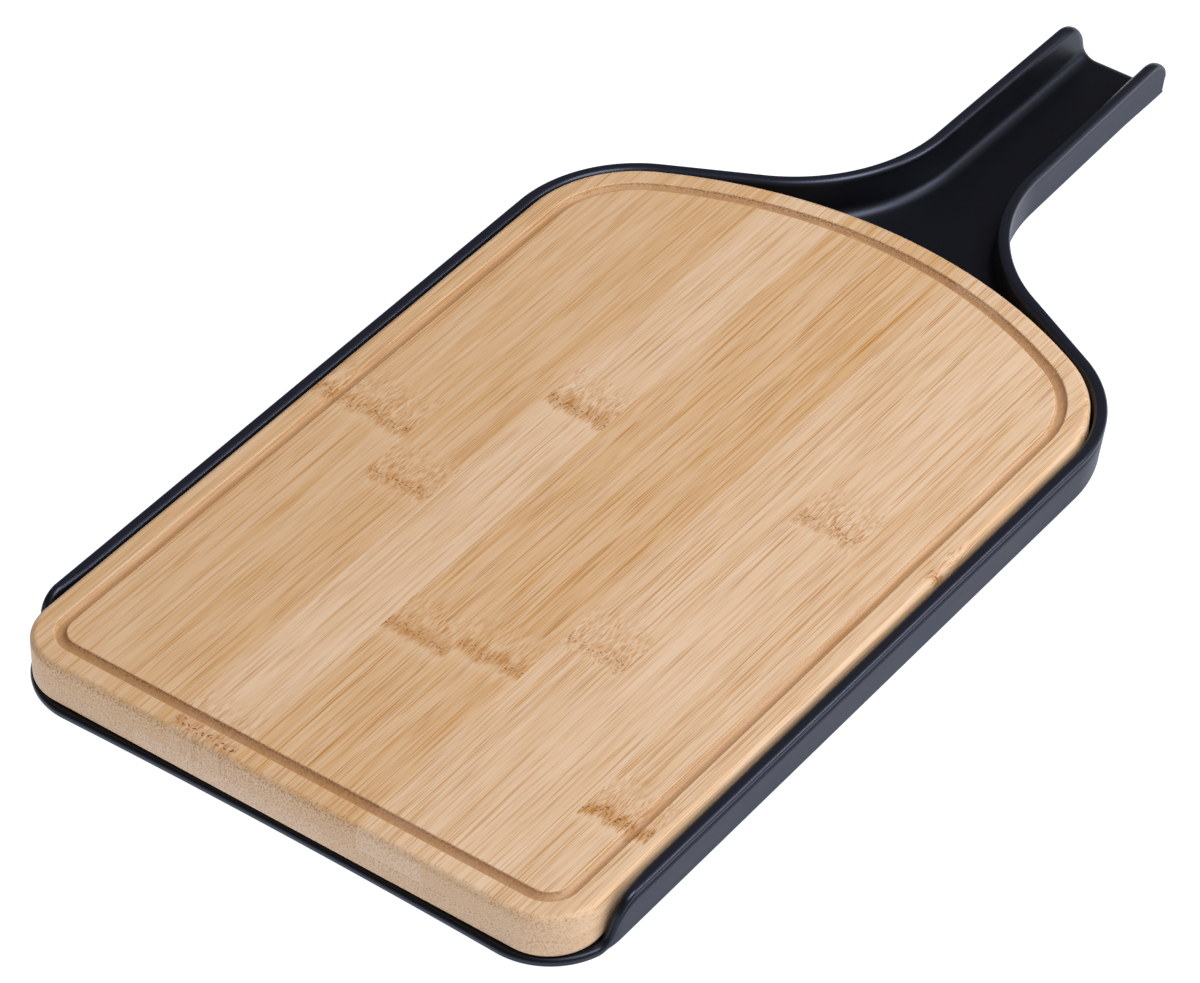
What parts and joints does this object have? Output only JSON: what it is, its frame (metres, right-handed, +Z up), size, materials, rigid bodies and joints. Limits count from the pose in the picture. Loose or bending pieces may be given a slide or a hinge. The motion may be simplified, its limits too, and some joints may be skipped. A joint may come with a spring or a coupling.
{
  "type": "cutting board with tray",
  "caption": "Laminated bamboo cutting board with a juice groove, lying in a shallow plastic tray that narrows into a channel-shaped handle; the board slides out over the open front.",
  "frame": {"origin": "centre of the underside of the tray", "axes": "+Z up, +Y from the open front to the handle, X across the board"},
  "size_m": [0.242, 0.5042, 0.0216],
  "materials": {
    "bamboo_top": "fine sanded and oiled bamboo, strips side by side",
    "bamboo_bottom": "fine sanded bamboo, strips side by side",
    "tray_plastic": "matte black injection-moulded plastic"
  },
  "bodies": {
    "tray": {"tray": "tray_plastic"},
    "board": {"bottom_strip_01": "bamboo_bottom", "bottom_strip_02": "bamboo_bottom", "bottom_strip_03": "bamboo_bottom", "bottom_strip_04": "bamboo_bottom", "bottom_strip_05": "bamboo_bottom", "bottom_strip_06": "bamboo_bottom", "bottom_strip_07": "bamboo_bottom", "bottom_strip_08": "bamboo_bottom", "bottom_strip_09": "bamboo_bottom", "bottom_strip_10": "bamboo_bottom", "top_strip_01": "bamboo_top", "top_strip_02": "bamboo_top", "top_strip_03": "bamboo_top", "top_strip_04": "bamboo_top", "top_strip_05": "bamboo_top", "top_strip_06": "bamboo_top", "top_strip_07": "bamboo_top", "top_strip_08": "bamboo_top", "top_strip_09": "bamboo_top", "top_strip_10": "bamboo_top"}
  },
  "joints": [
    {"name": "board_slide", "type": "slide", "parent": "tray", "child": "board", "axis": [0, -1, 0], "range_m": [0, 0.26]}
  ]
}
